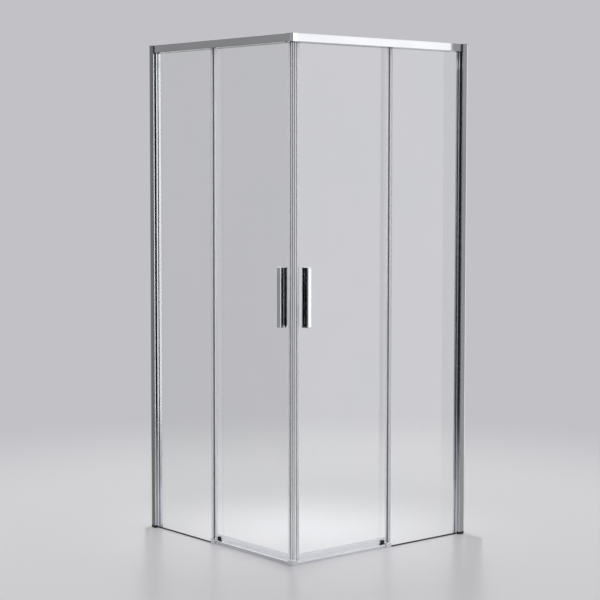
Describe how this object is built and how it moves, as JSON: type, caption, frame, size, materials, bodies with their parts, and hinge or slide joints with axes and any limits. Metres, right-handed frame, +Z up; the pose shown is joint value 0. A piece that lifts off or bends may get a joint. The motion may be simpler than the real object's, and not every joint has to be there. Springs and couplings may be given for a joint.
{
  "type": "corner shower enclosure",
  "caption": "Square corner shower enclosure with fixed clear glass panes at the walls and sliding glass doors that meet at the front corner under a bright top rail.",
  "frame": {"origin": "centre of the square plan at floor level", "axes": "+Z up; the walls are at -X and +Y, and the glass sides at -Y and +X meet at the front corner"},
  "size_m": [0.9, 0.9, 1.95],
  "materials": {
    "bright_aluminium": "polished and bright anodised",
    "chrome_casting": "chrome plated",
    "zinc_casting": "bare die casting",
    "steel": "stainless",
    "clear_glass": "clear toughened",
    "clear_vinyl": "clear extruded",
    "magnet_strip": "flexible ferrite",
    "black_nylon": "moulded",
    "grey_nylon": "moulded",
    "wheel_acetal": "turned acetal",
    "rubber": "moulded"
  },
  "bodies": {
    "frame": {"corner_connector": "chrome_casting", "corner_block": "chrome_casting", "channel_caps": "grey_nylon", "channel_feet": "black_nylon", "rail_stops": "rubber", "frame_screws": "steel", "front_wall_channel": "bright_aluminium", "front_pane_post": "bright_aluminium", "front_post_gasket": "rubber", "front_fixed_pane": "clear_glass", "front_pane_base_strip": "rubber", "front_pane_edge_seal": "clear_vinyl", "front_top_rail": "bright_aluminium", "front_rail_end_block": "grey_nylon", "front_rail_gasket": "rubber", "front_threshold_bar": "bright_aluminium", "front_bottom_guide": "chrome_casting", "front_guide_insert": "black_nylon", "right_wall_channel": "bright_aluminium", "right_pane_post": "bright_aluminium", "right_post_gasket": "rubber", "right_fixed_pane": "clear_glass", "right_pane_base_strip": "rubber", "right_pane_edge_seal": "clear_vinyl", "right_top_rail": "bright_aluminium", "right_rail_end_block": "grey_nylon", "right_rail_gasket": "rubber", "right_threshold_bar": "bright_aluminium", "right_bottom_guide": "chrome_casting", "right_guide_insert": "black_nylon"},
    "front_door": {"front_door_glass": "clear_glass", "front_door_bottom_seal": "clear_vinyl", "front_door_trailing_seal": "clear_vinyl", "front_door_magnet_seal": "clear_vinyl", "front_door_magnet_strip": "magnet_strip", "front_outer_handle": "chrome_casting", "front_inner_handle": "chrome_casting", "front_handle_washers": "clear_vinyl", "front_handle_studs": "steel", "front_door_hangers": "zinc_casting", "front_hanger_axles": "steel"},
    "right_door": {"right_door_glass": "clear_glass", "right_door_bottom_seal": "clear_vinyl", "right_door_trailing_seal": "clear_vinyl", "right_door_magnet_seal": "clear_vinyl", "right_door_magnet_strip": "magnet_strip", "right_outer_handle": "chrome_casting", "right_inner_handle": "chrome_casting", "right_handle_washers": "clear_vinyl", "right_handle_studs": "steel", "right_door_hangers": "zinc_casting", "right_hanger_axles": "steel"},
    "front_trailing_roller": {"front_trailing_wheel": "wheel_acetal", "front_trailing_bearing": "steel"},
    "front_leading_roller": {"front_leading_wheel": "wheel_acetal", "front_leading_bearing": "steel"},
    "right_trailing_roller": {"right_trailing_wheel": "wheel_acetal", "right_trailing_bearing": "steel"},
    "right_leading_roller": {"right_leading_wheel": "wheel_acetal", "right_leading_bearing": "steel"}
  },
  "joints": [
    {"name": "front_door_slide", "type": "slide", "parent": "frame", "child": "front_door", "axis": [-1, 0, 0], "range_m": [0, 0.33]},
    {"name": "right_door_slide", "type": "slide", "parent": "frame", "child": "right_door", "axis": [0, 1, 0], "range_m": [0, 0.33]},
    {"name": "front_trailing_roller_spin", "type": "hinge", "parent": "front_door", "child": "front_trailing_roller", "pos_m": [-0.01, -0.41425, 1.9314], "axis": [0, 1, 0], "continuous": true},
    {"name": "front_leading_roller_spin", "type": "hinge", "parent": "front_door", "child": "front_leading_roller", "pos_m": [0.328, -0.41425, 1.9314], "axis": [0, 1, 0], "continuous": true},
    {"name": "right_trailing_roller_spin", "type": "hinge", "parent": "right_door", "child": "right_trailing_roller", "pos_m": [0.41425, 0.01, 1.9314], "axis": [1, 0, 0], "continuous": true},
    {"name": "right_leading_roller_spin", "type": "hinge", "parent": "right_door", "child": "right_leading_roller", "pos_m": [0.41425, -0.328, 1.9314], "axis": [1, 0, 0], "continuous": true}
  ],
  "couplings": [
    {"joint": "front_trailing_roller_spin", "follows": "front_door_slide", "rad_per_m": -133.33},
    {"joint": "front_leading_roller_spin", "follows": "front_door_slide", "rad_per_m": -133.33},
    {"joint": "right_trailing_roller_spin", "follows": "right_door_slide", "rad_per_m": -133.33},
    {"joint": "right_leading_roller_spin", "follows": "right_door_slide", "rad_per_m": -133.33}
  ]
}
